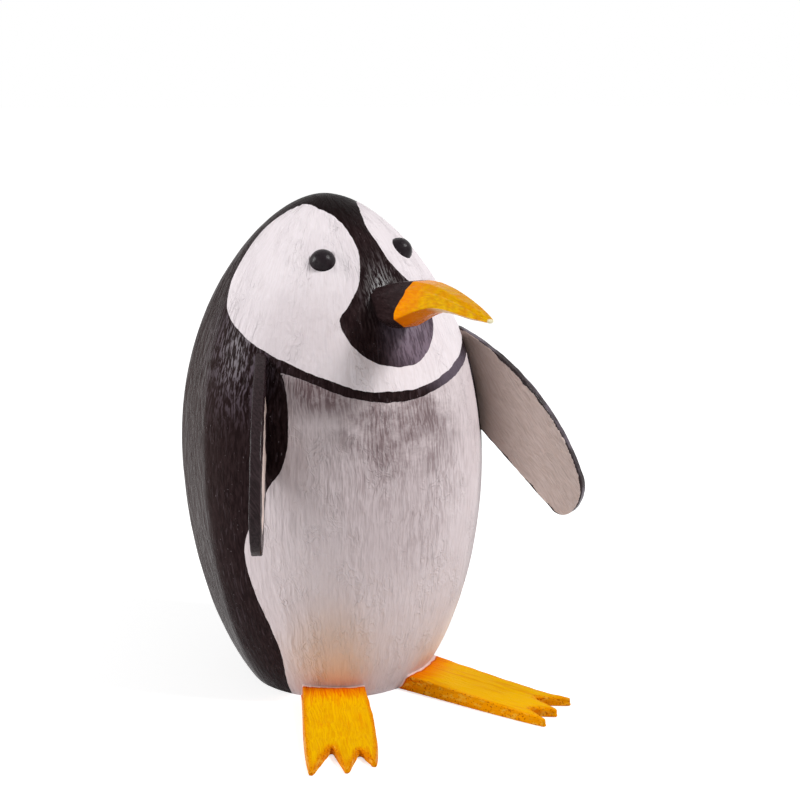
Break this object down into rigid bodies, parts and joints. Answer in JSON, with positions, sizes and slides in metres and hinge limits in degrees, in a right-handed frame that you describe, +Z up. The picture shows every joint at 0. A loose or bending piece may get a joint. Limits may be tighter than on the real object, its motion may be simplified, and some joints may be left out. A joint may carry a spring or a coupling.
{
  "type": "penguin figurine",
  "caption": "Carved and painted wooden penguin standing upright, with a drooping beak, spread flippers and plank feet.",
  "frame": {"origin": "middle of the body's sawn base, on the surface that the figurine stands on", "axes": "+Z up; the penguin faces -Y; +X is the penguin's own left side"},
  "size_m": [0.1838, 0.2123, 0.2496],
  "materials": {
    "painted_body": "satin varnish over white and black brushed paint",
    "painted_beak": "satin varnish over black, orange and yellow paint",
    "painted_eye": "satin black varnish",
    "painted_flipper": "satin varnish over black and grey-beige paint",
    "painted_foot": "satin varnish over orange and yellow paint",
    "bare_wood": "bare beech, glued in",
    "screw_steel": "zinc plated"
  },
  "bodies": {
    "root": {"beak": "painted_beak", "beak_dowel": "bare_wood", "body": "painted_body", "left_eye": "painted_eye", "left_flipper": "painted_flipper", "left_flipper_dowel_lower": "bare_wood", "left_flipper_dowel_upper": "bare_wood", "left_foot": "painted_foot", "left_foot_screw_front": "screw_steel", "left_foot_screw_rear": "screw_steel", "right_eye": "painted_eye", "right_flipper": "painted_flipper", "right_flipper_dowel_lower": "bare_wood", "right_flipper_dowel_upper": "bare_wood", "right_foot": "painted_foot", "right_foot_screw_front": "screw_steel", "right_foot_screw_rear": "screw_steel"}
  },
  "joints": []
}
